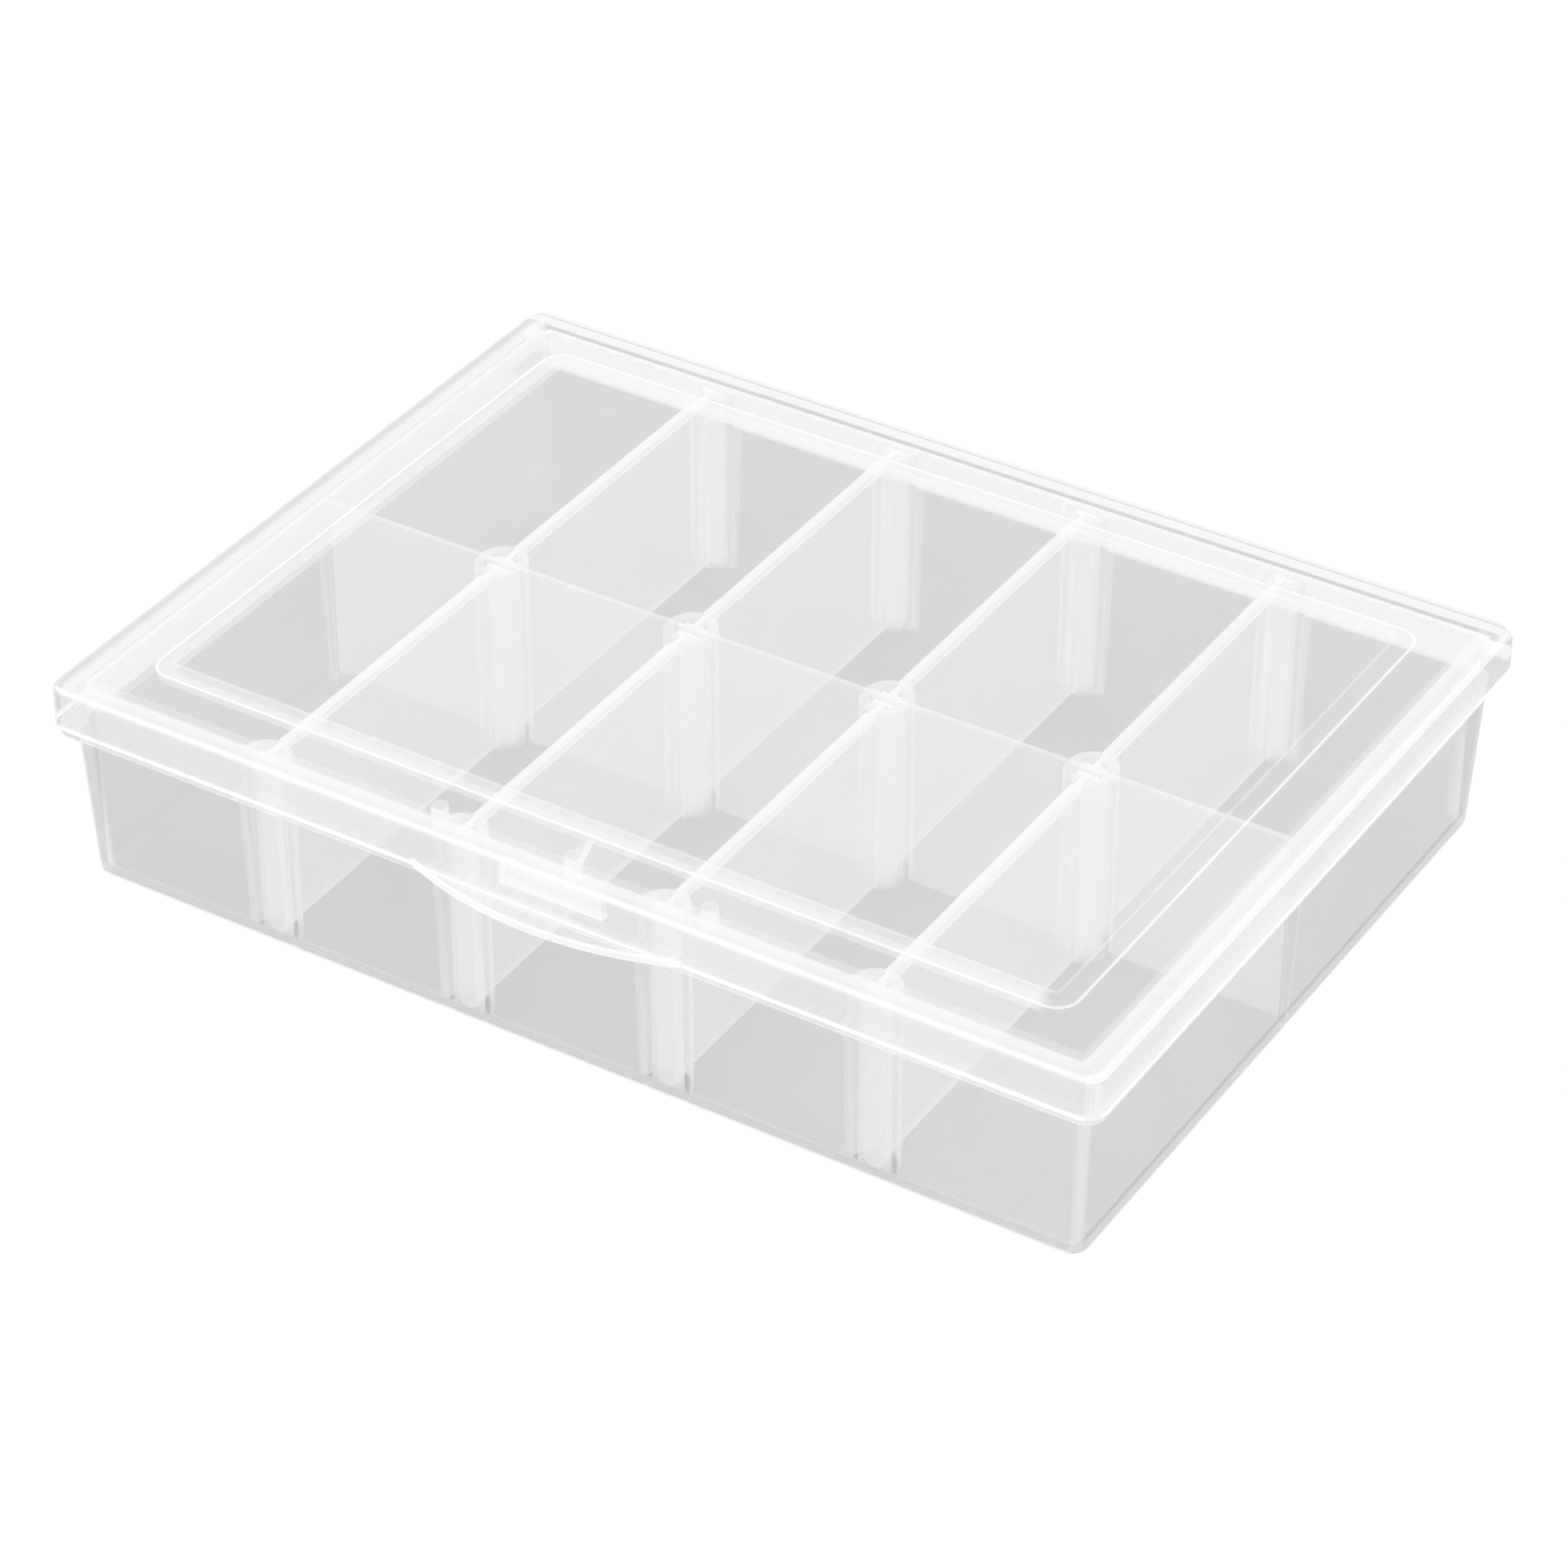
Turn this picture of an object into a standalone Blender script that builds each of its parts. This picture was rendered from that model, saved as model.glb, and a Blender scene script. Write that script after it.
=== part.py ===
# A sorting box of translucent plastic: a tray with ten compartments, a hinged lid that
# snaps shut over it, and eight dividers that lift out. Metres, +Z up, +Y to the hinge.
# The origin is the middle of the tray's underside.

import math

import bmesh
import bpy
from mathutils import Matrix, Vector

# Fits that several pieces share
clearance = 0.0003  # left between pieces that touch
overrun = 0.002  # how far a cutter passes the face it opens
sunk_share = 0.45  # how deep a moulded-on shape starts inside its wall
weld_share = 0.01  # corners closer than this share of the clearance are one
corner_steps = 6  # flats on a rounded corner
lid_edge_steps = 4  # flats round the lid's top edge
pin_steps = 48  # flats on a hinge pin, boss or hole
stud_steps = 24  # flats on a locating pin or the catch bead
smooth_angle = math.radians(35)

# Looks
milky = (0.86, 0.87, 0.88, 1)
plastic_roughness = 0.3
plastic_ior = 1.49
tray_alpha = 0.45
lid_alpha = 0.4
divider_alpha = 0.5

# Tray, outside
foot_width = 0.240
foot_depth = 0.1732
foot_rounding = 0.0010
tray_corner = 0.0040
tray_height = 0.0473
wall_lean = 0.0016  # the walls lean out this far between the foot and the shoulder
shoulder_width = 0.00145  # the step in from the wall to the neck
shoulder_drop = 0.0009  # the shoulder lies this far under the top of the ledge
neck_rounding = 0.0004

# Tray, inside
foot_wall = 0.0015  # wall thickness at the foot
floor_thickness = 0.0015
floor_fillet = 0.0006
middle_wall = 0.0015
inner_drop = 0.0003  # the middle wall and the guides end this far under the rim

# Ledge under the lid's skirt, along the front and the sides
ledge_reach = 0.0026
ledge_thickness = 0.0015
ledge_gap = 0.0004
ledge_stop = 0.0090  # the side ledges end this far in front of the hinge axis

# Lid
lid_sheet = 0.0018
lid_corner = 0.0045
lid_rounding = 0.0030
skirt_space = 0.00335  # from the neck out to the skirt
skirt_wall = 0.0015
skirt_height = 0.0104
corner_gap = 0.0007  # where the skirt goes round the back corners it passes the wall by this
panel_border = 0.0154
panel_run = 0.0040
panel_rise = 0.0008
panel_recess = 0.0004  # the underside rises by this under the panel
panel_corner = 0.0050
panel_root = 0.0002

# Hinge: pins on the tray's neck, in holes through the lid's side skirts
hinge_drop = 0.0032  # the axis lies this far under the rim
hinge_behind = 0.00035  # and this far behind the neck
hinge_pin_radius = 0.0015
hinge_boss_radius = 0.0022
hinge_boss_length = 0.0057

# Snap catch: a lug on the tray's neck and a bead inside the lid's front skirt
lug_width = 0.0246
lug_under_rim = 0.0011
lug_ramp = 0.0013
bead_radius = 0.0009
bead_proud = 0.0010  # the bead stands this far out of the skirt
catch_reach = 0.0003  # the bead and the lug overlap by this, seen from above
catch_gap = 0.0002  # from the top of the bead up to the foot of the lug

# Thumb tab at the foot of the front skirt
tab_width = 0.066
tab_reach = 0.0068
tab_thickness = 0.0018
tab_rounding = 0.0004
tab_steps = 152  # flats on the whole disc that the tab is cut from

# Locating pins and a fin under the lid, just inside the tray's front wall
locator_gap = 0.0007  # from a guide to the pin beside it
locator_inset = 0.0040
locator_radius = 0.0018
locator_length = 0.0055
fin_thickness = 0.0015
fin_length = 0.0065
fin_tail = 0.0005

# Guides: half-round posts with a slot, which hold the ends of the dividers
guide_radius = 0.0055
guide_wall = 0.0020
guide_steps = 7

# Dividers
divider_columns = 4
divider_pitch = 0.04843
divider_web = 0.0014
divider_drop = 0.0006  # the dividers end this far under the rim
flange_width = 0.0048
flange_thickness = 0.0012
flange_lift = 0.0003  # the end flanges stop this far above the web's foot
flange_drop = 0.0004  # and this far under the rib's top
flange_rounding = 0.0012
flange_steps = 4
rib_width = 0.0026
rib_height = 0.0015
rib_crown = 0.0002  # the rib stands this far above the web
divider_rounding = 0.0002

# Sizes that follow from those above
shoulder_x = foot_width / 2 + wall_lean
shoulder_y = foot_depth / 2 + wall_lean
neck_x = shoulder_x - shoulder_width
neck_y = shoulder_y - shoulder_width
inner_x = foot_width / 2 - foot_wall
inner_y = foot_depth / 2 - foot_wall
lid_x = neck_x + skirt_space + skirt_wall
lid_y = neck_y + skirt_space + skirt_wall
lid_underside = tray_height + clearance
lid_top = lid_underside + lid_sheet
skirt_foot = lid_top - skirt_height
ledge_top = skirt_foot - ledge_gap
shoulder_top = ledge_top - shoulder_drop
inner_top = tray_height - inner_drop
hinge_y = neck_y + hinge_behind
hinge_height = tray_height - hinge_drop
slot_width = divider_web + 2 * clearance
divider_foot = floor_thickness + clearance
divider_height = tray_height - divider_drop - divider_foot
divider_end = (inner_y - middle_wall / 2) / 2 - clearance
floor_root = floor_thickness * sunk_share
wall_root = foot_wall * sunk_share
middle_root = middle_wall * sunk_share
sheet_root = lid_sheet * sunk_share
skirt_root = skirt_wall * sunk_share
lug_reach = skirt_space - bead_proud + catch_reach
lug_foot = skirt_foot + 2 * bead_radius + catch_gap
lug_top = tray_height - lug_under_rim
locator_y = -inner_y + locator_inset


def clear_scene():
    for obj in list(bpy.data.objects):
        bpy.data.objects.remove(obj, do_unlink=True)


def new_collection(name):
    made = bpy.data.collections.new(name)
    bpy.context.scene.collection.children.link(made)
    return made


# Every shape starts as a helper; the pieces of the box are moved to their own collection.
def new_helper(name, mesh):
    made = bpy.data.objects.new(name, mesh)
    helpers.objects.link(made)
    made.hide_render = True
    made.display_type = "WIRE"
    return made


def helper_from(name, shape):
    bmesh.ops.recalc_face_normals(shape, faces=shape.faces)
    mesh = bpy.data.meshes.new(name)
    shape.to_mesh(mesh)
    shape.free()
    return new_helper(name, mesh)


def block(low, high):
    shape = bmesh.new()
    low, high = Vector(low), Vector(high)
    size = Matrix.Diagonal((high - low).to_4d())
    size[3][3] = 1
    place = Matrix.Translation((low + high) / 2) @ size
    bmesh.ops.create_cube(shape, size=1, matrix=place)
    return shape


def edges_where(shape, test):
    return [edge for edge in shape.edges if all(test(corner.co) for corner in edge.verts)]


def round_edges(shape, edges, radius, steps):
    bmesh.ops.bevel(
        shape,
        geom=edges,
        offset=radius,
        offset_type="OFFSET",
        segments=steps,
        profile=0.5,
        affect="EDGES",
    )


def upright_edges(shape):
    return [edge for edge in shape.edges if abs(edge.verts[0].co.z - edge.verts[1].co.z) > clearance]


# A box with rounded corners in plan, and with its top or its foot rounded where asked.
def rounded_block(low, high, corner, top_rounding=0, foot_rounding=0, steps=3):
    shape = block(low, high)
    round_edges(shape, upright_edges(shape), corner, corner_steps)
    for level, radius in ((high[2], top_rounding), (low[2], foot_rounding)):
        if radius:
            rim = edges_where(shape, lambda at: abs(at.z - level) < clearance / 2)
            round_edges(shape, rim, radius, steps)
    return shape


def cylinder(radius, start, end, steps=pin_steps):
    start, end = Vector(start), Vector(end)
    along = end - start
    place = Matrix.Translation((start + end) / 2) @ along.to_track_quat("Z", "Y").to_matrix().to_4x4()
    shape = bmesh.new()
    bmesh.ops.create_cone(
        shape,
        cap_ends=True,
        segments=steps,
        radius1=radius,
        radius2=radius,
        depth=along.length,
        matrix=place,
    )
    return shape


def mesh_of(obj):
    bpy.context.view_layer.update()
    graph = bpy.context.evaluated_depsgraph_get()
    return bpy.data.meshes.new_from_object(obj.evaluated_get(graph), depsgraph=graph)


# Flat outlines, each a closed run of points, extruded from low to high and made one mesh.
def extruded(name, outlines, low, high):
    curve = bpy.data.curves.new(name, "CURVE")
    curve.dimensions = "2D"
    curve.fill_mode = "BOTH"
    curve.extrude = (high - low) / 2
    for outline in outlines:
        spline = curve.splines.new("POLY")
        spline.points.add(len(outline) - 1)
        for point, (x, y) in zip(spline.points, outline):
            point.co = (x, y, 0, 1)
        spline.use_cyclic_u = True
    drawn = bpy.data.objects.new(name, curve)
    helpers.objects.link(drawn)
    drawn.location.z = (low + high) / 2
    mesh = mesh_of(drawn)
    mesh.transform(Matrix.Translation(drawn.location))
    bpy.data.objects.remove(drawn, do_unlink=True)
    shape = bmesh.new()
    shape.from_mesh(mesh)
    bmesh.ops.remove_doubles(shape, verts=shape.verts, dist=clearance * weld_share)
    return helper_from(name, shape)


def combine(body, other, operation):
    modifier = body.modifiers.new(other.name, "BOOLEAN")
    modifier.operation = operation
    modifier.solver = "EXACT"
    modifier.object = other


def join(body, name, shape):
    combine(body, helper_from(name, shape), "UNION")


def cut(body, name, shape):
    combine(body, helper_from(name, shape), "DIFFERENCE")


def translucent_plastic(name, alpha):
    material = bpy.data.materials.new(name)
    material.use_nodes = True
    shader = material.node_tree.nodes["Principled BSDF"]
    shader.inputs["Base Color"].default_value = milky
    shader.inputs["Roughness"].default_value = plastic_roughness
    shader.inputs["Metallic"].default_value = 0
    shader.inputs["IOR"].default_value = plastic_ior
    shader.inputs["Alpha"].default_value = alpha
    return material


def move_origin(obj, origin):
    obj.data.transform(Matrix.Translation(-Vector(origin)))
    obj.location = origin


# Makes a helper one of the box's pieces, in a plastic of its own.
def finish_piece(obj, alpha):
    helpers.objects.unlink(obj)
    pieces.objects.link(obj)
    obj.hide_render = False
    obj.display_type = "TEXTURED"
    if not obj.data.materials:
        obj.data.materials.append(None)
        obj.data.shade_smooth()
        obj.data.set_sharp_from_angle(angle=smooth_angle)
    obj.material_slots[0].link = "OBJECT"
    obj.material_slots[0].material = translucent_plastic(obj.name + "_plastic", alpha)


# The tray's drafted outer wall, from the table to the shoulder.
def tray_body():
    low = (-foot_width / 2, -foot_depth / 2, 0)
    high = (foot_width / 2, foot_depth / 2, shoulder_top)
    shape = rounded_block(low, high, tray_corner, foot_rounding=foot_rounding)
    for corner in shape.verts:
        if corner.co.z > shoulder_top / 2:
            corner.co.x += math.copysign(wall_lean, corner.co.x)
            corner.co.y += math.copysign(wall_lean, corner.co.y)
    return helper_from("tray", shape)


def tray_neck():
    low = (-neck_x, -neck_y, shoulder_top - floor_root)
    high = (neck_x, neck_y, tray_height)
    return rounded_block(low, high, tray_corner, top_rounding=neck_rounding, steps=2)


def tray_ledge():
    low = (-shoulder_x - ledge_reach, -shoulder_y - ledge_reach, ledge_top - ledge_thickness)
    high = (shoulder_x + ledge_reach, hinge_y - ledge_stop, ledge_top)
    shape = block(low, high)
    front = [edge for edge in upright_edges(shape) if edge.verts[0].co.y < 0]
    round_edges(shape, front, tray_corner, corner_steps)
    return shape


def tray_cavity():
    low = (-inner_x, -inner_y, floor_thickness)
    high = (inner_x, inner_y, tray_height + overrun)
    return rounded_block(low, high, tray_corner - foot_wall, foot_rounding=floor_fillet, steps=2)


def tray_middle_wall():
    low = (-inner_x - wall_root, -middle_wall / 2, floor_thickness - floor_root)
    high = (inner_x + wall_root, middle_wall / 2, inner_top)
    return block(low, high)


def arc(centre, radius, start, end, mirror_x, mirror_y):
    for step in range(guide_steps + 1):
        angle = start + (end - start) * step / guide_steps
        x = centre[0] + mirror_x * radius * math.sin(angle)
        y = centre[1] + mirror_y * radius * math.cos(angle)
        yield x, y


# One curved half of a guide: it runs from the wall round to the slot.
def guide_half(centre, mirror_x, mirror_y, root):
    bore = guide_radius - guide_wall
    outer = (math.asin(slot_width / 2 / guide_radius), math.pi / 2 + math.asin(root / guide_radius))
    inner = (math.asin(slot_width / 2 / bore), math.pi / 2 + math.asin(root / bore))
    outside = list(arc(centre, guide_radius, *outer, mirror_x, mirror_y))
    inside = list(arc(centre, bore, *inner, mirror_x, mirror_y))
    return outside + inside[::-1]


def divider_places():
    return [divider_pitch * (k - (divider_columns - 1) / 2) for k in range(divider_columns)]


def tray_guides():
    walls = ((-inner_y, 1, wall_root), (-middle_wall / 2, -1, middle_root),
             (middle_wall / 2, 1, middle_root), (inner_y, -1, wall_root))
    outlines = [
        guide_half((x, face), side, inward, root)
        for x in divider_places()
        for face, inward, root in walls
        for side in (-1, 1)
    ]
    return extruded("guides", outlines, floor_thickness - floor_root, inner_top)


def tray_lug():
    front = -neck_y - lug_reach
    shape = block((-lug_width / 2, front, lug_foot), (lug_width / 2, -neck_y + wall_root, lug_top))
    ramp = edges_where(shape, lambda at: at.y < front + clearance and at.z > lug_top - clearance)
    round_edges(shape, ramp, lug_ramp, 1)
    return shape


def hinge_axis_at(x):
    return (x, hinge_y, hinge_height)


def add_hinge_pins(tray):
    for side, name in ((-1, "left"), (1, "right")):
        root = hinge_axis_at(side * (neck_x - hinge_boss_length))
        middle = hinge_axis_at(side * (neck_x - hinge_boss_length / 2))
        face = hinge_axis_at(side * (neck_x - wall_root))
        tip = hinge_axis_at(side * (lid_x - clearance))
        join(tray, name + "_hinge_boss", cylinder(hinge_boss_radius, root, face))
        join(tray, name + "_hinge_pin", cylinder(hinge_pin_radius, middle, tip))


def make_tray():
    tray = tray_body()
    join(tray, "neck", tray_neck())
    join(tray, "ledge", tray_ledge())
    join(tray, "lug", tray_lug())
    add_hinge_pins(tray)
    cut(tray, "cavity", tray_cavity())
    join(tray, "middle_wall", tray_middle_wall())
    combine(tray, tray_guides(), "UNION")
    finish_piece(tray, tray_alpha)


def lid_shell():
    low = (-lid_x, -lid_y, skirt_foot)
    high = (lid_x, lid_y, lid_top)
    return helper_from("lid", rounded_block(low, high, lid_corner, lid_rounding, steps=lid_edge_steps))


def lid_inside():
    x, y = lid_x - skirt_wall, lid_y - skirt_wall
    low, high = (-x, -y, skirt_foot - overrun), (x, y, lid_underside)
    return rounded_block(low, high, lid_corner - skirt_wall, lid_rounding - skirt_wall, steps=lid_edge_steps)


# The raised middle of the lid: its slope starts a little under the face that it rises from.
def lid_panel(face, depth, rise):
    slope = panel_run / rise
    spread = panel_root * slope
    x, y = lid_x - panel_border + spread, lid_y - panel_border + spread
    top = face - panel_root
    shape = rounded_block((-x, -y, top - depth), (x, y, top), panel_corner + spread)
    shape.normal_update()
    cap = [face for face in shape.faces if round(face.normal.z) == 1]
    bmesh.ops.inset_region(
        shape,
        faces=cap,
        thickness=panel_run + spread,
        depth=rise + panel_root,
        use_even_offset=True,
    )
    return shape


# There is no skirt along the back, where it would meet the tray when the lid swings.
def lid_back_trim():
    x = shoulder_x + corner_gap
    low = (-x, lid_y - lid_corner, skirt_foot - overrun)
    return block(low, (x, lid_y + overrun, lid_underside))


# The tab is a disc with a rounded rim, cut off just inside the skirt.
def lid_tab():
    half = tab_width / 2
    radius = (half * half + tab_reach * tab_reach) / (2 * tab_reach)
    y = radius - tab_reach - lid_y
    shape = cylinder(radius, (0, y, skirt_foot), (0, y, skirt_foot + tab_thickness), tab_steps)
    upright = set(upright_edges(shape))
    round_edges(shape, [edge for edge in shape.edges if edge not in upright], tab_rounding, 2)
    found = bmesh.ops.bisect_plane(
        shape,
        geom=shape.verts[:] + shape.edges[:] + shape.faces[:],
        plane_co=(0, skirt_root - lid_y, 0),
        plane_no=(0, 1, 0),
        clear_outer=True,
    )
    rim = [part for part in found["geom_cut"] if isinstance(part, bmesh.types.BMEdge)]
    bmesh.ops.edgeloop_fill(shape, edges=rim)
    return shape


def lid_bead():
    y = -neck_y - skirt_space + bead_proud - bead_radius
    z = skirt_foot + bead_radius
    return cylinder(bead_radius, (-lug_width / 2, y, z), (lug_width / 2, y, z), stud_steps)


def add_locating_pins(lid):
    spread = divider_pitch / 2 + guide_radius + locator_gap + locator_radius
    for side, name in ((-1, "left"), (0, "middle"), (1, "right")):
        foot = (side * spread, locator_y, lid_underside - locator_length)
        root = (side * spread, locator_y, lid_underside + sheet_root)
        join(lid, name + "_locating_pin", cylinder(locator_radius, foot, root, stud_steps))


# A web behind the middle pin, which tapers up to the lid.
def lid_fin():
    low = (-fin_thickness / 2, locator_y, lid_underside - locator_length)
    high = (fin_thickness / 2, locator_y + fin_length, lid_underside + sheet_root)
    shape = block(low, high)
    for corner in shape.verts:
        if corner.co.y > locator_y and corner.co.z < lid_underside:
            corner.co.z = lid_underside - fin_tail
    return shape


def make_lid():
    lid = lid_shell()
    join(lid, "panel", lid_panel(lid_top, sheet_root, panel_rise))
    cut(lid, "inside", lid_inside())
    cut(lid, "panel_recess", lid_panel(lid_underside, overrun, panel_recess))
    cut(lid, "back_trim", lid_back_trim())
    join(lid, "tab", lid_tab())
    join(lid, "bead", lid_bead())
    add_locating_pins(lid)
    join(lid, "fin", lid_fin())
    reach = lid_x + overrun
    hole = cylinder(hinge_pin_radius + clearance, hinge_axis_at(-reach), hinge_axis_at(reach))
    cut(lid, "hinge_holes", hole)
    move_origin(lid, hinge_axis_at(0))
    finish_piece(lid, lid_alpha)


# The flange across one end of a divider, with its lower corners rounded.
def divider_flange(near, far):
    low = (-flange_width / 2, near, flange_lift)
    high = (flange_width / 2, far, divider_height - flange_drop)
    shape = block(low, high)
    lower = [
        edge
        for edge in shape.edges
        if abs(edge.verts[0].co.y - edge.verts[1].co.y) > clearance
        and edge.verts[0].co.z < divider_height / 2
    ]
    round_edges(shape, lower, flange_rounding, flange_steps)
    return shape


# The rib along a divider's top runs from one guide to the other.
def divider_rib():
    end = divider_end - guide_radius
    low = (-rib_width / 2, -end, divider_height - rib_height)
    shape = block(low, (rib_width / 2, end, divider_height))
    top = edges_where(shape, lambda at: at.z > divider_height - clearance)
    round_edges(shape, top, divider_rounding, 1)
    return shape


# A divider stands on z = 0 here and is centred on x and y.
def divider_mesh():
    low = (-divider_web / 2, -divider_end, 0)
    high = (divider_web / 2, divider_end, divider_height - rib_crown)
    divider = helper_from("divider", block(low, high))
    join(divider, "near_flange", divider_flange(-divider_end, -divider_end + flange_thickness))
    join(divider, "far_flange", divider_flange(divider_end - flange_thickness, divider_end))
    join(divider, "rib", divider_rib())
    mesh = mesh_of(divider)
    bpy.data.objects.remove(divider, do_unlink=True)
    mesh.name = "divider"
    return mesh


def make_dividers():
    mesh = divider_mesh()
    row_y = (inner_y + middle_wall / 2) / 2
    for row, side in (("front", -1), ("back", 1)):
        for number, x in enumerate(divider_places(), 1):
            divider = new_helper(f"{row}_divider_{number}", mesh)
            divider.location = (x, side * row_y, divider_foot)
            finish_piece(divider, divider_alpha)


clear_scene()
pieces = new_collection("sorting_box")
helpers = new_collection("cutters")
make_tray()
make_lid()
make_dividers()
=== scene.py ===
import math

import bpy
from mathutils import Matrix, Vector


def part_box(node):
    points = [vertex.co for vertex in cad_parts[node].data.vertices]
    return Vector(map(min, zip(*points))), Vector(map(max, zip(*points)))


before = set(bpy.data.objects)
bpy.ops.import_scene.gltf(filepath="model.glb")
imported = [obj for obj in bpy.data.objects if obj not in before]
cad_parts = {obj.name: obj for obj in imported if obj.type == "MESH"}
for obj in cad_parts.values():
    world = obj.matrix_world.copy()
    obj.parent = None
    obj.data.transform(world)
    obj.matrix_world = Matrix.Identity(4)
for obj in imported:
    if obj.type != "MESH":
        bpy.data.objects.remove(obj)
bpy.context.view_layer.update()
print("frame loaded:", len(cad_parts), "pieces")

mm = 0.001
pureWhite = (1, 1, 1, 1)
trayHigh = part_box("tray")[1]
lidLow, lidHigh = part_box("lid")
dividerLow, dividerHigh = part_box("front_divider_1")


# A number in a shader: sums on it add Math nodes to its tree.
class Number:
    def __init__(self, finish, socket):
        self.finish = finish
        self.socket = socket

    def maths(self, operation, *others):
        values = dict(enumerate((self, *others)))
        return self.finish.add("Math", {"operation": operation}, values)

    def __add__(self, other):
        return self.maths("ADD", other)

    def __sub__(self, other):
        return self.maths("SUBTRACT", other)

    def __mul__(self, other):
        return self.maths("MULTIPLY", other)

    def __rsub__(self, other):
        return self.finish.number(other).maths("SUBTRACT", self)

    __radd__ = __add__
    __rmul__ = __mul__

    def __neg__(self):
        return 0 - self

    def __abs__(self):
        return self.maths("ABSOLUTE")

    def smallest(self, other):
        return self.maths("MINIMUM", other)

    def largest(self, other):
        return self.maths("MAXIMUM", other)

    def past(self, place, soft):  # 0 below the place, 1 above it
        return self.finish.add(
            "MapRange",
            {"interpolation_type": "SMOOTHSTEP"},
            {"Value": self, "From Min": place - soft / 2, "From Max": place + soft / 2},
        )

    def near(self, place, half, soft):  # 1 within half of the place
        return 1 - abs(self - place).past(half, soft)

    def plusSide(self):  # 1 where it is above nought
        return self.past(0, mm)


# A material under construction.
class Finish:
    def __init__(self, name):
        self.material = bpy.data.materials.new(name)
        self.material.use_nodes = True
        self.tree = self.material.node_tree
        self.tree.nodes.clear()

    def add(self, kind, settings=None, values=None, output=0):
        made = self.tree.nodes.new("ShaderNode" + kind)
        for name, setting in (settings or {}).items():
            setattr(made, name, setting)
        for name, value in (values or {}).items():
            if isinstance(value, Number):
                self.tree.links.new(value.socket, made.inputs[name])
            else:
                made.inputs[name].default_value = value
        return Number(self, made.outputs[output])

    def number(self, value):
        made = self.tree.nodes.new("ShaderNodeValue")
        made.outputs[0].default_value = value
        return Number(self, made.outputs[0])

    def place(self):  # where a point of the piece is at rest, in metres
        at = self.add("TexCoord", output="Object")
        split = self.add("SeparateXYZ", values={0: at}).socket.node
        return [Number(self, socket) for socket in split.outputs]

    def noise(self, scale, detail):
        at = self.add("TexCoord", output="Object")
        return self.add("TexNoise", values={"Vector": at, "Scale": scale, "Detail": detail})

    def mixColours(self, share, first, second):
        values = {0: share, 6: first, 7: second}
        return self.add("Mix", {"data_type": "RGBA"}, values, output=2)

    def shadeWith(self, shader):
        out = self.tree.nodes.new("ShaderNodeOutputMaterial")
        self.tree.links.new(shader.socket, out.inputs["Surface"])
        return self.material


def join(masks):
    made = masks[0]
    for mask in masks[1:]:
        made = made.largest(mask)
    return made


# Milky plastic. Each face of a wall covers a little of what is behind it, and along edges the plastic
# is denser and painted whiter, a painted highlight for light that runs inside the walls and comes out
# there.
# Every face also gives off a little painted light, the most along edges.
plastic = {
    "milk": (0.92, 0.92, 0.925, 1),
    # painted highlight: the colour of the edges
    "highlightWhite": (1.0, 1.0, 1.0, 1),
    "roughness": 0.32,
    "ior": 1.49,
    # painted light: the plastic gives off light, at the first strength along edges and at the share
    # below of it on every other face
    "paintedGlow": 0.2,
    "paintedBodyGlow": 0.59,
    "cloudScale": 38,
    "cloudDetail": 4,
    "cloudMiddle": 0.5,
    "cloudDepth": 0.06,
    "flowScale": 130,
    "flowDetail": 2,
    "bump": 0.03,
    "bumpDepth": 0.2 * mm,
    "shadowShare": 0.9,  # how much of the cover is left out of shadows
    "sharpAngle": 30,
}


def milkyPlastic(name, look, edgesOf, densOf):
    finish = Finish(name)
    x, y, z = finish.place()
    edge = edgesOf(x, y, z)
    cloud = finish.noise(plastic["cloudScale"], plastic["cloudDetail"])
    cover = (cloud - plastic["cloudMiddle"]) * plastic["cloudDepth"] + look["cover"]
    cover = cover + densOf(x, y, z)
    cover = cover + (look["edgeCover"] - cover) * edge
    shadow = finish.add("LightPath", output="Is Shadow Ray")
    cover = cover * (1 - shadow * plastic["shadowShare"])
    # painted light: every face gives off some light, the most along edges
    paintedGlow = edge.largest(plastic["paintedBodyGlow"])
    grain = finish.noise(plastic["flowScale"], plastic["flowDetail"])
    bump = finish.add(
        "Bump",
        values={"Strength": plastic["bump"], "Distance": plastic["bumpDepth"], "Height": grain},
    )
    body = finish.add(
        "BsdfPrincipled",
        values={
            # painted highlight: edges are whiter
            "Base Color": finish.mixColours(edge, plastic["milk"], plastic["highlightWhite"]),
            "Roughness": plastic["roughness"],
            "IOR": plastic["ior"],
            "Emission Color": finish.add("CombineColor", values={0: paintedGlow, 1: paintedGlow, 2: paintedGlow}),
            "Emission Strength": plastic["paintedGlow"],
            "Normal": bump,
        },
    )
    clear = finish.add("BsdfTransparent")
    return finish.shadeWith(finish.add("MixShader", values={0: cover, 1: clear, 2: body}))


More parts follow.
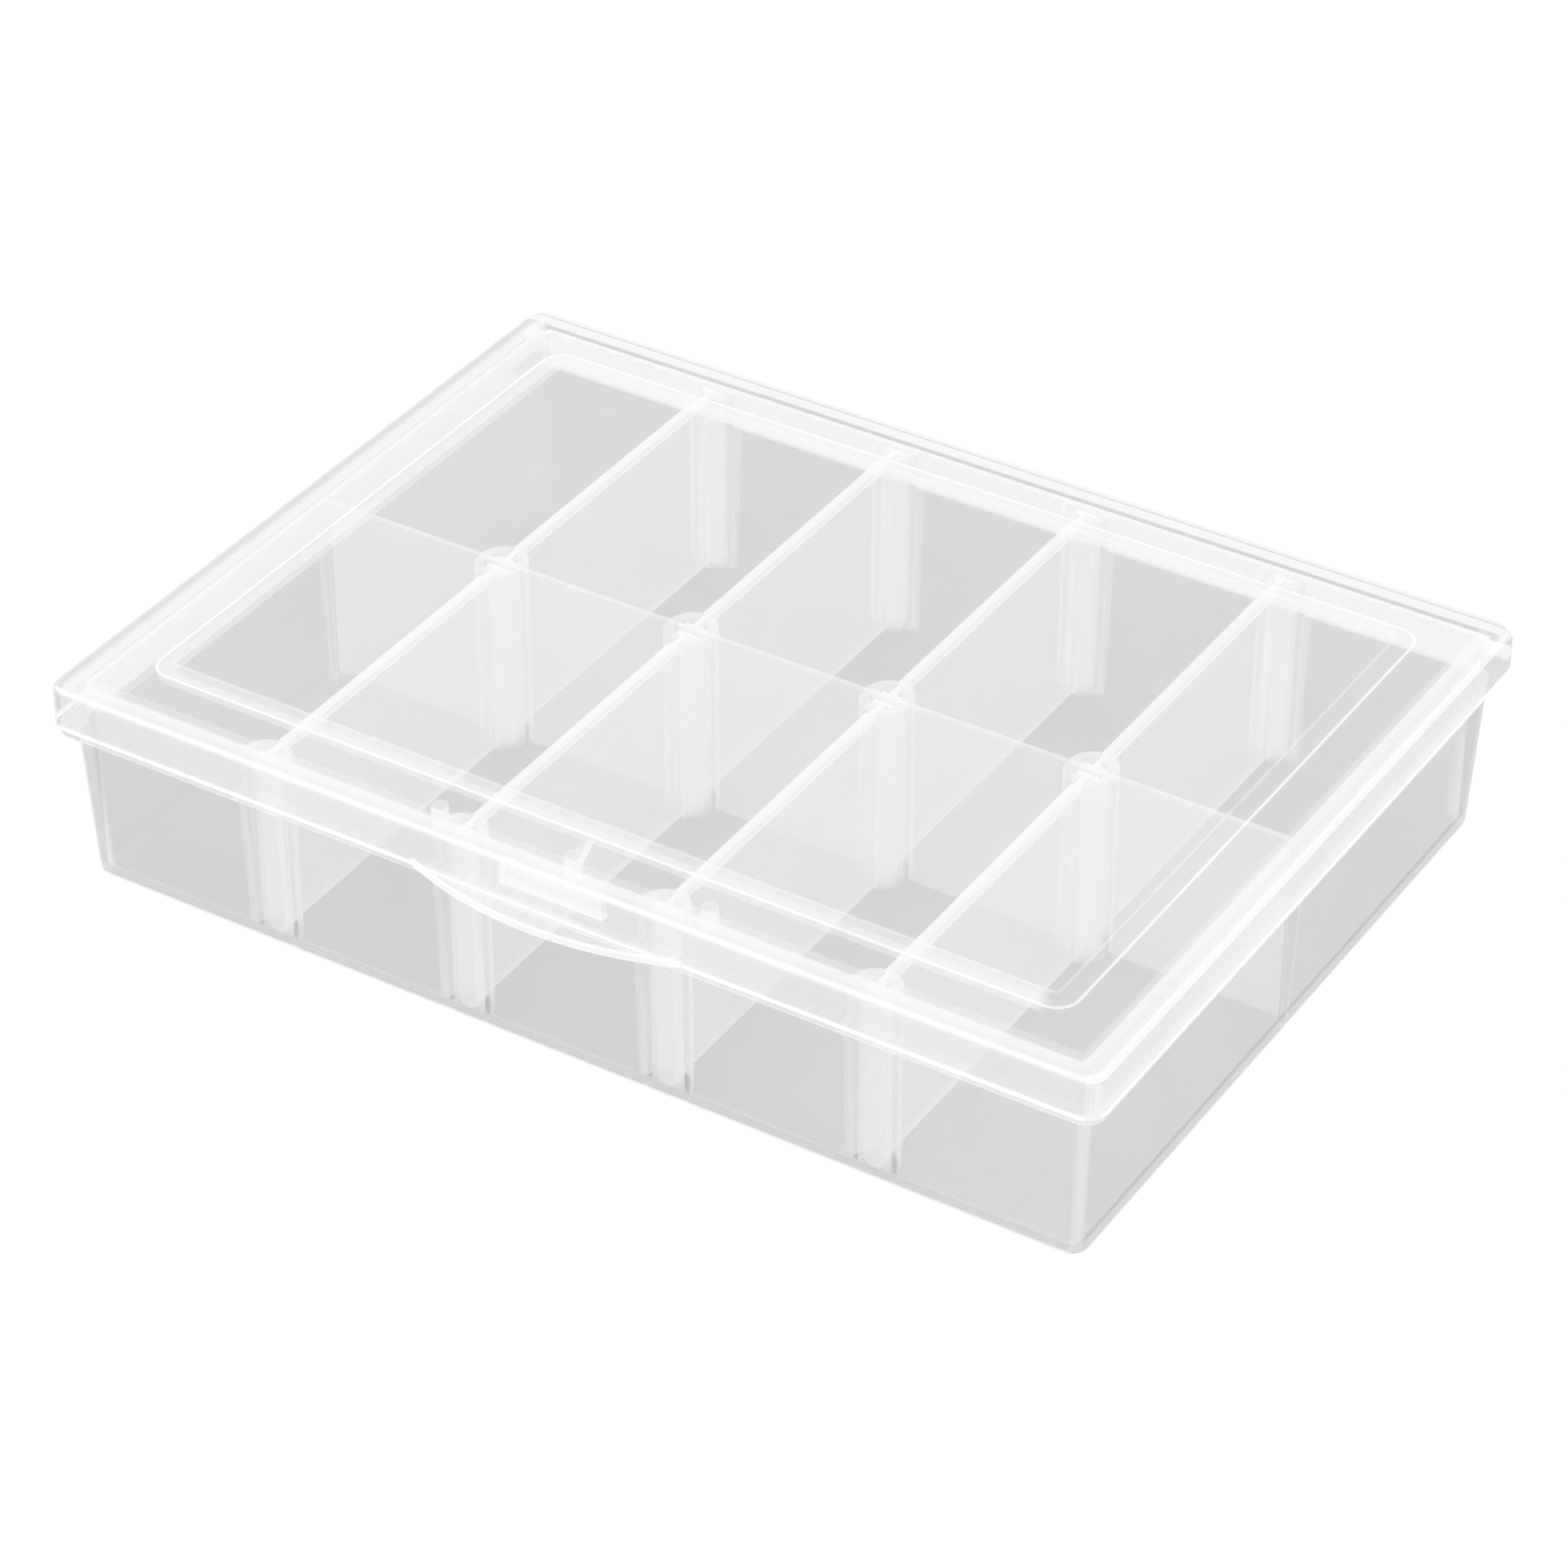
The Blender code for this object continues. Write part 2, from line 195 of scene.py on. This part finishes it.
# Tray. Lines and masks are measured from the middle of its underside.
tray = {
    "cover": 0.2,
    "edgeCover": 0.75,
    "halfWide": 120 * mm,  # to the outer faces, at the foot
    "halfDeep": 86.6 * mm,
    "innerWide": 118.5 * mm,  # to the inner faces
    "innerDeep": 85.1 * mm,
    "wallInset": 0.3 * mm,  # a wall's mask starts this far before its inner face
    "wallSoft": 0.2 * mm,
    "skin": 0.7 * mm,
    "shoulder": 37.7 * mm,
    "shoulderSoft": 1 * mm,
    "lean": 1.6 * mm,  # of a wall, from the foot to the shoulder
    "edgeSoft": 0.5 * mm,
    "denseSoft": 0.4 * mm,
    "crispSoft": 0.1 * mm,
    "rimDepth": 0.8 * mm,
    "rimShare": 0.3,
    # the foot line is a painted highlight, on the front wall only
    "footLine": 1.2 * mm,
    # painted light: the foot of the front and right walls is made denser and whiter, against the
    # contact shade seen through it
    "footLightTop": 3.8 * mm,
    "footLightSoft": 1.6 * mm,
    "footPaintedLight": 0.3,
    "floorTop": 1.8 * mm,
    "floorSoft": 0.2 * mm,
    "floorCover": -0.03,
    "frontLightFrom": 50 * mm,  # painted light: the front wall is made denser and whiter towards +x from around here
    "frontLightRun": 120 * mm,
    # painted light: the front wall towards +x, the right wall and the back half of the left wall are
    # made denser and whiter
    "frontPaintedLight": 0.08,
    "rightPaintedLight": 0.04,
    "leftPaintedLight": 0.05,
    "ledgeFoot": 37.4 * mm,
    "ledgeLine": 0.25 * mm,
    "ledgeShare": 0.5,
    # upright corner lines, a painted highlight kept to the two front corners
    "cornerLine": 2.7 * mm,
    "cornerSoft": 0.6 * mm,
    "cornerEnd": 2 * mm,  # under the shoulder
    "cornerShare": 0.6,
    # painted light: the two upright corners where x and y have the same sign are made denser and
    # whiter
    "litCorner": 6 * mm,
    "litCornerSoft": 3 * mm,
    "diagonalScale": 1000,
    "cornerPaintedLight": 0.2,
    "middleHalf": 0.75 * mm,
    "middleRim": 1 * mm,
    "middleShare": 0.25,
    "middleReach": 0.9 * mm,
    "middleCover": 0.04,
    "aboveFloor": 1.6 * mm,
    "lugHalf": 12.4 * mm,
    "lugOut": 1 * mm,
    "lugFoot": 3 * mm,  # over the shoulder
    "lugShare": 0.8,
    "guidePitch": 48.43 * mm,
    "guideRadius": 5.5 * mm,
    "guideMargin": 0.1 * mm,
    "guideRing": 4.5 * mm,
    "guideWall": 1.0 * mm,
    "guideCover": 0.22,
    "neckFoot": 0.4 * mm,  # over the shoulder
    "neckSoft": 0.8 * mm,
    # painted light: the back neck, and less the left, is made denser and whiter than the front and
    # right
    "backNeckPaintedLight": 0.6,
    "neckBackPaintedLight": 0.5,
    "neckLeftPaintedLight": 0.3,
    "neckRest": 0.1,
}


def inWall(distance, face):
    return distance.past(tray[face] - tray["wallInset"], tray["wallSoft"])


def onSkin(distance, face, soft):
    return distance.past(tray[face] - tray["skin"], soft)


def inNeck(z):
    return z.past(tray["shoulder"] + tray["neckFoot"], tray["neckSoft"])


def atCorner(x, y, z, line, soft):  # the four upright corners, which lean with the walls
    leaning = z.smallest(tray["shoulder"]) * (tray["lean"] / tray["shoulder"])
    outermost = tray["halfWide"] + tray["halfDeep"]
    return (abs(x) + abs(y) - leaning * 2).past(outermost - line, soft)


def trayEdges(x, y, z):
    soft = tray["edgeSoft"]
    wide, deep = abs(x), abs(y)
    skin = join([onSkin(wide, "halfWide", soft), onSkin(deep, "halfDeep", soft)])
    walls = join([inWall(wide, "innerWide"), inWall(deep, "innerDeep")])
    rim = z.past(trayHigh.z - tray["rimDepth"], soft) * walls
    # painted highlight: a white line along the foot of the front wall only
    foot = (1 - z.past(tray["footLine"], soft)) * onSkin(-y, "halfDeep", soft)
    ledge = z.near(tray["ledgeFoot"], tray["ledgeLine"], soft) * skin
    # painted highlight: corner lines on the two front corners only, below the shoulder
    below = (1 - z.past(tray["shoulder"] - tray["cornerEnd"], soft)) * (1 - y.plusSide())
    corner = atCorner(x, y, z, tray["cornerLine"], tray["cornerSoft"]) * below
    top = z.past(trayHigh.z - tray["middleRim"], soft)
    middle = deep.near(0, tray["middleHalf"], soft) * join([inWall(wide, "innerWide"), top])
    # painted light: the neck of the back wall is painted whiter
    neck = inWall(y, "innerDeep") * inNeck(z)
    lug = (1 - wide.past(tray["lugHalf"], soft)) * (-y).past(tray["halfDeep"] + tray["lugOut"], soft)
    lug = lug * z.past(tray["shoulder"] + tray["lugFoot"], soft)
    return join([
        rim * tray["rimShare"],
        foot,
        lug * tray["lugShare"],
        neck * tray["backNeckPaintedLight"],
        ledge * tray["ledgeShare"],
        corner * tray["cornerShare"],
        middle * tray["middleShare"],
    ])


def trayDens(x, y, z):
    soft, crisp = tray["denseSoft"], tray["crispSoft"]
    wide, deep = abs(x), abs(y)
    front = inWall(deep, "innerDeep")
    side = inWall(wide, "innerWide")
    overFloor = z.past(tray["aboveFloor"], crisp)
    fromGuide = abs(abs(wide - tray["guidePitch"]) - tray["guidePitch"] / 2)
    ring = fromGuide.near(tray["guideRing"], tray["guideWall"], soft)
    posts = fromGuide.near(0, tray["guideRadius"] + tray["guideMargin"], crisp)
    posts = posts * (1 - front) * overFloor
    outer = join([onSkin(x, "halfWide", soft), onSkin(-y, "halfDeep", soft)])
    # painted light: the foot of the front and right walls made denser and whiter
    litFoot = (1 - z.past(tray["footLightTop"], tray["footLightSoft"])) * outer
    # painted light: two opposite corners made denser and whiter
    corner = atCorner(x, y, z, tray["litCorner"], tray["litCornerSoft"])
    corner = corner * (x * y * tray["diagonalScale"]).plusSide() * tray["cornerPaintedLight"]
    below = 1 - z.past(tray["shoulder"], tray["shoulderSoft"])
    middle = (1 - deep.past(tray["middleReach"], crisp)) * overFloor * tray["middleCover"]
    # painted light: these walls are made denser and whiter, as the light falls on them
    lit = join([
        inWall(-x, "innerWide") * y.plusSide() * tray["leftPaintedLight"],
        inWall(x, "innerWide") * tray["rightPaintedLight"],
        inWall(-y, "innerDeep") * x.past(tray["frontLightFrom"], tray["frontLightRun"]) * tray["frontPaintedLight"],
    ])
    # painted light: the back and left necks are made denser and whiter; neckRest is the plain share
    # for every neck
    neck = join([
        inWall(y, "innerDeep") * tray["neckBackPaintedLight"],
        inWall(-x, "innerWide") * tray["neckLeftPaintedLight"],
        join([front, side]) * tray["neckRest"],
    ]) * inNeck(z)
    walls = join([
        ring * front * tray["guideCover"],
        posts * tray["guideCover"],
        litFoot * tray["footPaintedLight"],
        corner * below,
        middle,
        lit,
        neck,
    ])
    return walls + (1 - z.past(tray["floorTop"], tray["floorSoft"])) * tray["floorCover"]


# Lid
lid = {
    "cover": 0.18,
    "edgeCover": 0.8,
    "halfDepth": 91.6 * mm,
    "edgeSoft": 0.4 * mm,
    "crispSoft": 0.1 * mm,
    "skin": 0.5 * mm,
    "skinSoft": 0.2 * mm,
    "highlightHeight": 48.3 * mm,  # painted highlight along the rounded top edge, front and right sides only, centred at this height
    "highlightFront": 0.4 * mm,
    "highlightRight": 0.7 * mm,
    "frontBand": 2 * mm,
    "rightBand": 3 * mm,
    "highlightShare": 0.85,
    "footLine": 1.1 * mm,
    # corner lines, a painted highlight kept to the front corners
    "cornerLine": 3.2 * mm,
    "cornerSoft": 0.6 * mm,
    "cornerShare": 0.6,
    "sheetTop": 49.4 * mm,
    "topInset": 0.4 * mm,
    "sheetUnder": 47.6 * mm,
    "underInset": 0.2 * mm,
    "borderFrom": (118.3 * mm, 84.9 * mm),
    "borderSoft": 1 * mm,
    "borderCover": 0.18,
    # painted light: the back border, and less the left, is made denser and whiter than the front and
    # right
    "backPaintedLight": 0.65,
    "leftPaintedLight": 0.34,
    "underShare": 0.3,
    "underDepth": 1 * mm,
    # painted shade: thin darker lines just inside the back and left edges
    "backShadeLine": 88.1 * mm,
    "leftShadeLine": 122.2 * mm,
    "lineHalf": 0.3 * mm,
    "lineSoft": 0.5 * mm,
    "shadeLineShare": 0.75,
    "panelBorder": 15.4 * mm,
    "panelRun": 4.0 * mm,
    "panelCorner": 5.0 * mm,
    "panelLine": 0.35 * mm,
    "panelShare": 0.8,
    "slopeSoft": 0.5 * mm,
    "slopeCover": 0.28,
    "slopeRight": 0.02,
    "slopeRightFrom": 104 * mm,
    "slopeRightSoft": 2 * mm,
    "innerShare": 0.3,
    "pinsDeep": 84 * mm,
    "pinsWide": 36 * mm,
    "pinShare": 0.6,
    "skirtBand": 2 * mm,
    "skirtCover": 0.06,
    "sideCover": 0.26,
    "tabFrom": 0.2 * mm,
    "tabRadius": 83.47 * mm,
    "tabCentre": -14.93 * mm,
    "tabRim": 0.6 * mm,
    "tabShare": 0.85,
}


def panelDistance(x, y):  # from the foot of the raised middle, negative inside it
    halves = [half - lid["panelBorder"] - lid["panelCorner"] for half in (lidHigh.x, lid["halfDepth"])]
    along, across = abs(x) - halves[0], abs(y) - halves[1]
    outer = along.largest(0).maths("POWER", 2) + across.largest(0).maths("POWER", 2)
    return outer.maths("SQRT") + along.largest(across).smallest(0) - lid["panelCorner"]


def inSheet(z):
    return z.past(lid["sheetUnder"] - lid["underInset"], lid["crispSoft"])


def lidEdges(x, y, z):
    soft, crisp = lid["edgeSoft"], lid["crispSoft"]
    wide, deep = abs(x), abs(y)
    # painted highlight along the rounded top edge of the front and right skirts
    front = (-y).past(lid["halfDepth"] - lid["frontBand"], soft)
    front = front * z.near(lid["highlightHeight"], lid["highlightFront"], soft)
    right = x.past(lidHigh.x - lid["rightBand"], soft)
    right = right * z.near(lid["highlightHeight"], lid["highlightRight"], soft)
    beyond = deep.past(lid["halfDepth"] + lid["tabFrom"], crisp)
    skin = join([
        wide.past(lidHigh.x - lid["skin"], lid["skinSoft"]),
        deep.past(lid["halfDepth"] - lid["skin"], lid["skinSoft"]),
    ])
    foot = (1 - z.past(lidLow.z + lid["footLine"], soft)) * skin * (1 - beyond)
    fromTab = (x.maths("POWER", 2) + (y - lid["tabCentre"]).maths("POWER", 2)).maths("SQRT")
    tab = fromTab.past(lid["tabRadius"] - lid["tabRim"], soft) * beyond
    corner = (wide + deep).past(lidHigh.x + lid["halfDepth"] - lid["cornerLine"], lid["cornerSoft"])
    top = z.past(lid["sheetTop"] - lid["topInset"], crisp)
    panel = panelDistance(x, y).near(0, lid["panelLine"], soft) * top
    inner = panelDistance(x, y).near(-lid["panelRun"], lid["panelLine"], soft) * top
    pins = (1 - inSheet(z)) * (1 - deep.past(lid["pinsDeep"], soft))
    pins = pins * (1 - wide.past(lid["pinsWide"], soft))
    return join([
        join([front, right]) * lid["highlightShare"],
        foot,
        tab * lid["tabShare"],
        # painted highlight: corner lines on the front corners only
        corner * (1 - y.plusSide()) * lid["cornerShare"],
        panel * lid["panelShare"],
        inner * lid["innerShare"],
        pins * lid["pinShare"],
    ])


def lidDens(x, y, z):
    fromWide, fromDeep = lid["borderFrom"]
    halfRun = lid["panelRun"] / 2
    rightward = x.past(lid["slopeRightFrom"], lid["slopeRightSoft"])
    slope = panelDistance(x, y).near(-halfRun, halfRun, lid["slopeSoft"])
    slope = slope * (lid["slopeCover"] - rightward * (lid["slopeCover"] - lid["slopeRight"]))
    border = join([abs(x).past(fromWide, lid["borderSoft"]), abs(y).past(fromDeep, lid["borderSoft"])])
    # painted shade: darker lines inside the back and left edges
    backShadeLine = 1 - y.near(lid["backShadeLine"], lid["lineHalf"], lid["lineSoft"]) * lid["shadeLineShare"]
    leftShadeLine = 1 - (-x).near(lid["leftShadeLine"], lid["lineHalf"], lid["lineSoft"]) * lid["shadeLineShare"]
    # painted light on the back and left borders
    back = y.past(fromDeep, lid["borderSoft"]) * backShadeLine * lid["backPaintedLight"]
    left = (-x).past(fromWide, lid["borderSoft"]) * leftShadeLine * lid["leftPaintedLight"]
    upper = z.past(lid["sheetTop"] - lid["underDepth"], lid["edgeSoft"])
    upper = upper * (1 - lid["underShare"]) + lid["underShare"]
    skirt = join([
        abs(x).past(lidHigh.x - lid["skirtBand"], lid["skinSoft"]) * lid["sideCover"],
        abs(y).past(lid["halfDepth"] - lid["skirtBand"], lid["skinSoft"]) * lid["skirtCover"],
    ])
    flat = join([slope, border * lid["borderCover"], join([back, left]) * upper])
    sheet = inSheet(z)
    return flat * sheet + skirt * (1 - sheet)


# Dividers
divider = {
    "cover": 0.3,
    "edgeCover": 0.62,
    "ribDepth": 1.5 * mm,
    "ribSoft": 0.4 * mm,
    "ribShare": 0.72,
    "fadeDepth": 5 * mm,
    "fadeCover": 0.06,
    "footLine": 0.4 * mm,
    "footSoft": 0.3 * mm,
    "footShare": 0.3,
}


def dividerEdges(x, y, z):
    rib = z.past(dividerHigh.z - divider["ribDepth"], divider["ribSoft"])
    foot = 1 - z.past(dividerLow.z + divider["footLine"], divider["footSoft"])
    return join([rib * divider["ribShare"], foot * divider["footShare"]])


def dividerDens(x, y, z):
    fade = z.past(dividerHigh.z - divider["fadeDepth"] / 2, divider["fadeDepth"])
    return fade * divider["fadeCover"]


finishes = {
    "tray": milkyPlastic("trayPlastic", tray, trayEdges, trayDens),
    "lid": milkyPlastic("lidPlastic", lid, lidEdges, lidDens),
    "divider": milkyPlastic("dividerPlastic", divider, dividerEdges, dividerDens),
}
for name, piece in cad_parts.items():
    kind = "divider" if "divider" in name else name
    piece.data.materials.clear()
    piece.data.materials.append(finishes[kind])
    for face in piece.data.polygons:
        face.use_smooth = True
    piece.data.set_sharp_from_angle(angle=math.radians(plastic["sharpAngle"]))
print("finishes done")

# Stage: a plain pale floor, white where the camera meets it first. To camera rays its colour is a dark
# grey, painted shade that shows through the plastic under and behind the box
stage = {
    "size": 12,
    "gap": 0.0002,
    "pale": (0.8, 0.8, 0.8, 1),
    # painted shade: the floor's colour to camera rays, seen through the plastic
    "shadeSeenThrough": (0.42, 0.42, 0.42, 1),
    "whiteShare": 0.85,
    "white": 1.12,
    "throughFrom": 0.5,  # between no clear face in front of the floor and one
    "throughSoft": 0.1,
}


def seenDirectly(finish):
    camera = finish.add("LightPath", output="Is Camera Ray")
    glossy = finish.add("LightPath", output="Is Glossy Ray")
    through = finish.add("LightPath", output="Transparent Depth")
    return (camera + glossy) * (1 - through.past(stage["throughFrom"], stage["throughSoft"]))


def buildStage():
    finish = Finish("paleFloor")
    camera = finish.add("LightPath", output="Is Camera Ray")
    # painted shade: grey to camera rays, pale to all others
    pale = finish.mixColours(camera, stage["pale"], stage["shadeSeenThrough"])
    plain = finish.add("BsdfDiffuse", values={"Color": pale})
    white = finish.add("Emission", values={"Color": pureWhite, "Strength": stage["white"]})
    share = seenDirectly(finish) * stage["whiteShare"]
    material = finish.shadeWith(finish.add("MixShader", values={0: share, 1: plain, 2: white}))
    bpy.ops.mesh.primitive_plane_add(size=stage["size"], location=(0, 0, -stage["gap"]))
    floor = bpy.context.object
    floor.name = "floor"
    floor.data.materials.append(material)


# Light: a pale room, white to the camera, and one wide soft lamp above
light = {
    "room": 0.85,
    "lampSize": 2.4,
    "lampPlace": (-0.5, -0.4, 2.2),
    "lampPower": 8,
}


def buildLight():
    world = bpy.data.worlds.new("paleRoom")
    bpy.context.scene.world = world
    world.use_nodes = True
    tree = world.node_tree
    back = tree.nodes["Background"]
    back.inputs["Color"].default_value = pureWhite
    back.inputs["Strength"].default_value = light["room"]
    white = tree.nodes.new("ShaderNodeBackground")
    mix = tree.nodes.new("ShaderNodeMixShader")
    path = tree.nodes.new("ShaderNodeLightPath")
    tree.links.new(path.outputs["Is Camera Ray"], mix.inputs[0])
    tree.links.new(back.outputs[0], mix.inputs[1])
    tree.links.new(white.outputs[0], mix.inputs[2])
    white.inputs["Color"].default_value = pureWhite
    tree.links.new(mix.outputs[0], tree.nodes["World Output"].inputs["Surface"])
    lamp = bpy.data.lights.new("softLamp", "AREA")
    lamp.size = light["lampSize"]
    lamp.energy = light["lampPower"]
    placed = bpy.data.objects.new("softLamp", lamp)
    placed.location = light["lampPlace"]
    placed.rotation_euler = Vector(light["lampPlace"]).to_track_quat("Z", "Y").to_euler()
    bpy.context.scene.collection.objects.link(placed)


# Camera: matched to the photograph's outline
view = {
    "azimuth": 31.779,
    "elevation": 35.480,
    "roll": 0.157,
    "distance": 1.141404,
    "right": -0.781 * mm,
    "up": 12.789 * mm,
    "focalPixels": 6559.117,
    "framePixels": 1932,
    "sensor": 36,
    "reach": 100,
    "clearFaces": 64,  # how many a line of sight may go through
}


def buildCamera():
    turn, rise, roll = (math.radians(view[key]) for key in ("azimuth", "elevation", "roll"))
    back = Vector((math.sin(turn) * math.cos(rise), -math.cos(turn) * math.cos(rise), math.sin(rise)))
    level = Vector((math.cos(turn), math.sin(turn), 0))
    upright = back.cross(level)
    right = math.cos(roll) * level + math.sin(roll) * upright
    up = math.cos(roll) * upright - math.sin(roll) * level
    camera = bpy.data.objects.new("camera", bpy.data.cameras.new("camera"))
    bpy.context.scene.collection.objects.link(camera)
    place = view["right"] * right + view["up"] * up + view["distance"] * back
    turned = Matrix((right, up, back)).transposed()
    camera.matrix_world = Matrix.Translation(place) @ turned.to_4x4()
    camera.data.sensor_width = view["sensor"]
    camera.data.lens = view["focalPixels"] / view["framePixels"] * view["sensor"]
    camera.data.clip_end = view["reach"]
    bpy.context.scene.camera = camera


buildStage()
buildLight()
buildCamera()
bpy.context.scene.cycles.transparent_max_bounces = view["clearFaces"]
bpy.context.scene.view_settings.view_transform = "Standard"
print("stage, light and camera done")
